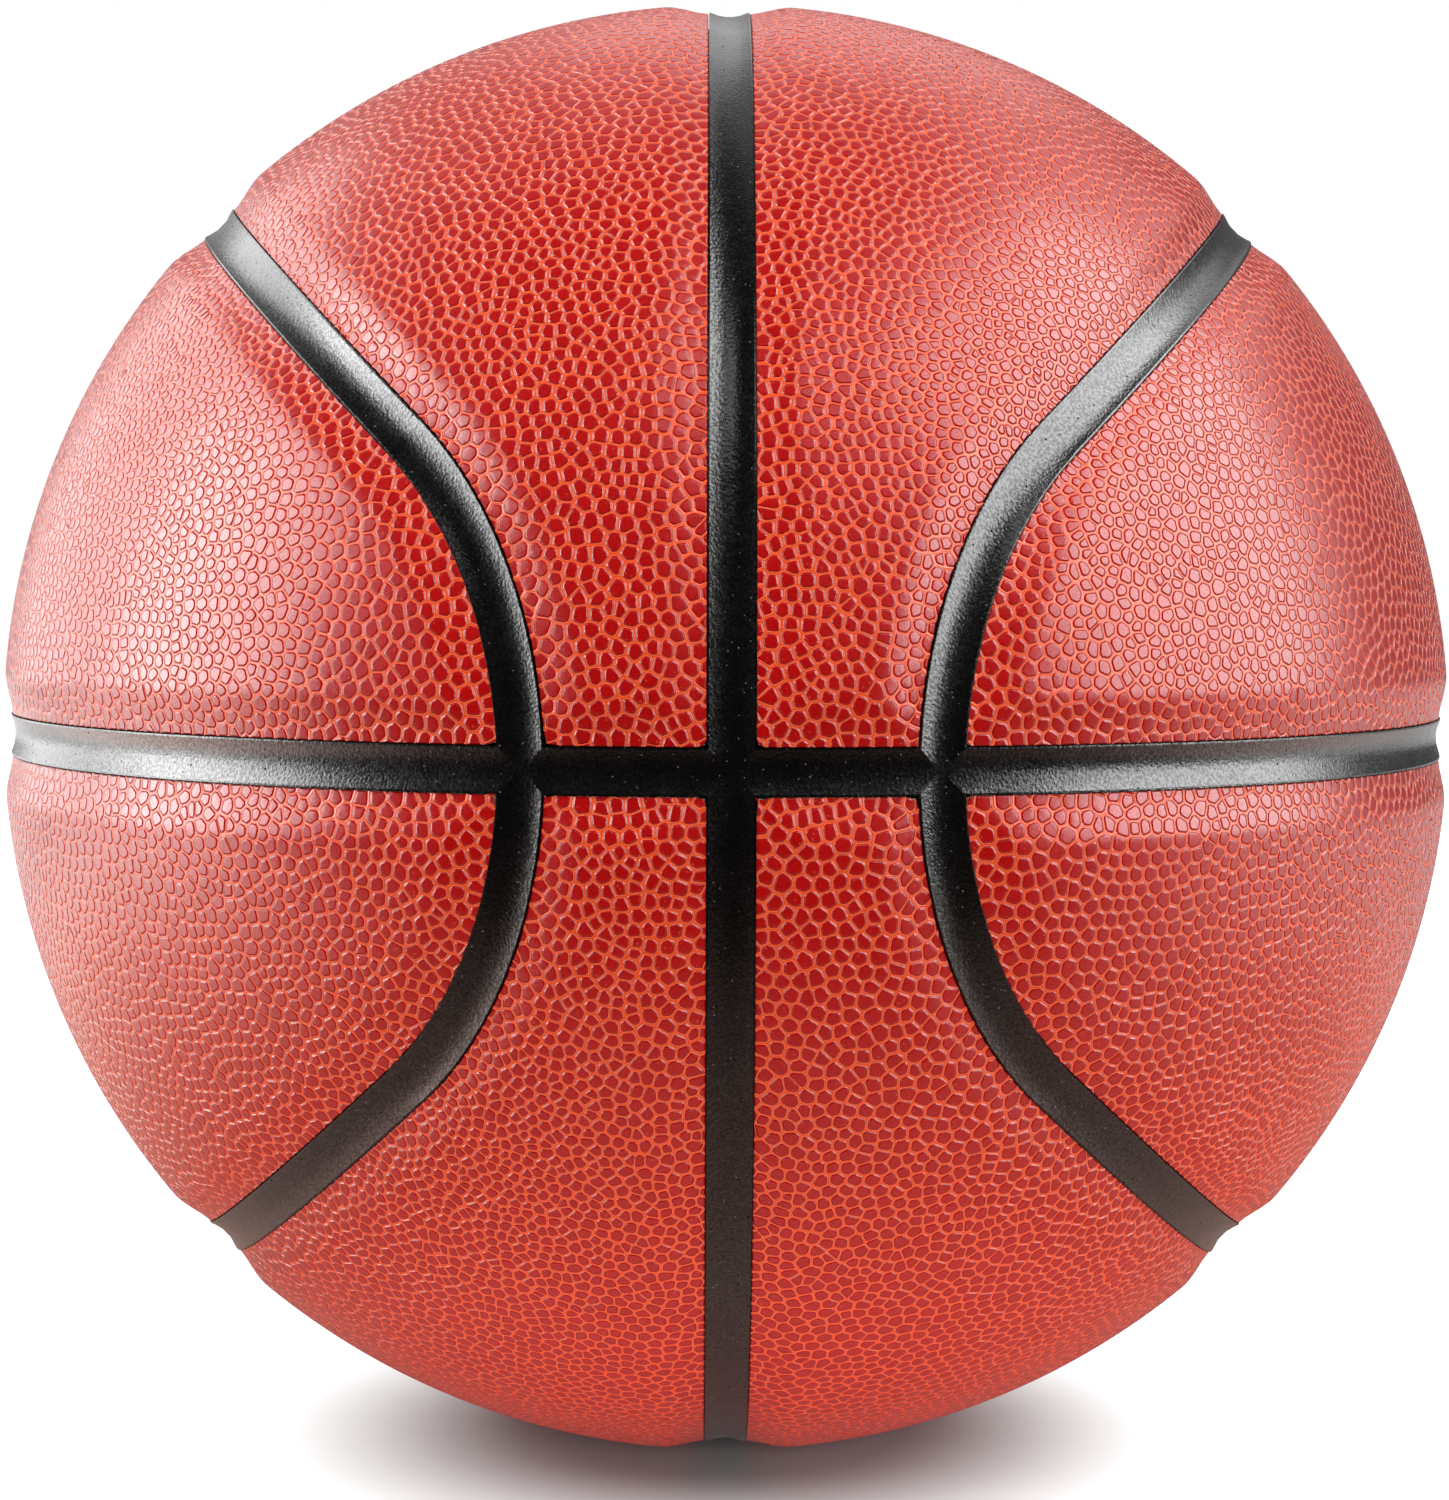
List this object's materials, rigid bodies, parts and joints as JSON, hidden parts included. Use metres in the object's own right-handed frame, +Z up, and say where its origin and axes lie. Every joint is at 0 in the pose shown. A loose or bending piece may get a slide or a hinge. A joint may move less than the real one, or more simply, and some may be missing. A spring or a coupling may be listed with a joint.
{
  "type": "basketball",
  "caption": "Inflatable ball for a court game: pebbled cover panels set between raised black rubber channels, over sponge pads, a moulded carcass, a thread winding and a valved bladder.",
  "frame": {"origin": "the ball's centre", "axes": "+Z up, in the plane of the upright channel; +X through the middle of the right loop; -Y through the crossing of the level and the upright channel that faces the viewer; the valve is at the back, near +Y"},
  "size_m": [0.239, 0.2384, 0.239],
  "materials": {
    "butyl": "matte",
    "valve_rubber": "matte",
    "core_rubber": "matte",
    "nylon": "matte",
    "channel_rubber": "satin",
    "sponge": "matte",
    "cover_leather": "pebbled"
  },
  "bodies": {
    "root": {"bladder": "butyl", "valve_housing": "valve_rubber", "valve_core": "core_rubber", "thread_winding": "nylon", "carcass": "channel_rubber", "oval_pad_right_upper": "sponge", "oval_pad_right_lower": "sponge", "oval_pad_left_upper": "sponge", "oval_pad_left_lower": "sponge", "band_pad_right_upper": "sponge", "band_pad_right_lower": "sponge", "band_pad_left_upper": "sponge", "band_pad_left_lower": "sponge", "oval_panel_right_upper": "cover_leather", "oval_panel_right_lower": "cover_leather", "oval_panel_left_upper": "cover_leather", "oval_panel_left_lower": "cover_leather", "band_panel_right_upper": "cover_leather", "band_panel_right_lower": "cover_leather", "band_panel_left_upper": "cover_leather", "band_panel_left_lower": "cover_leather"}
  },
  "joints": []
}
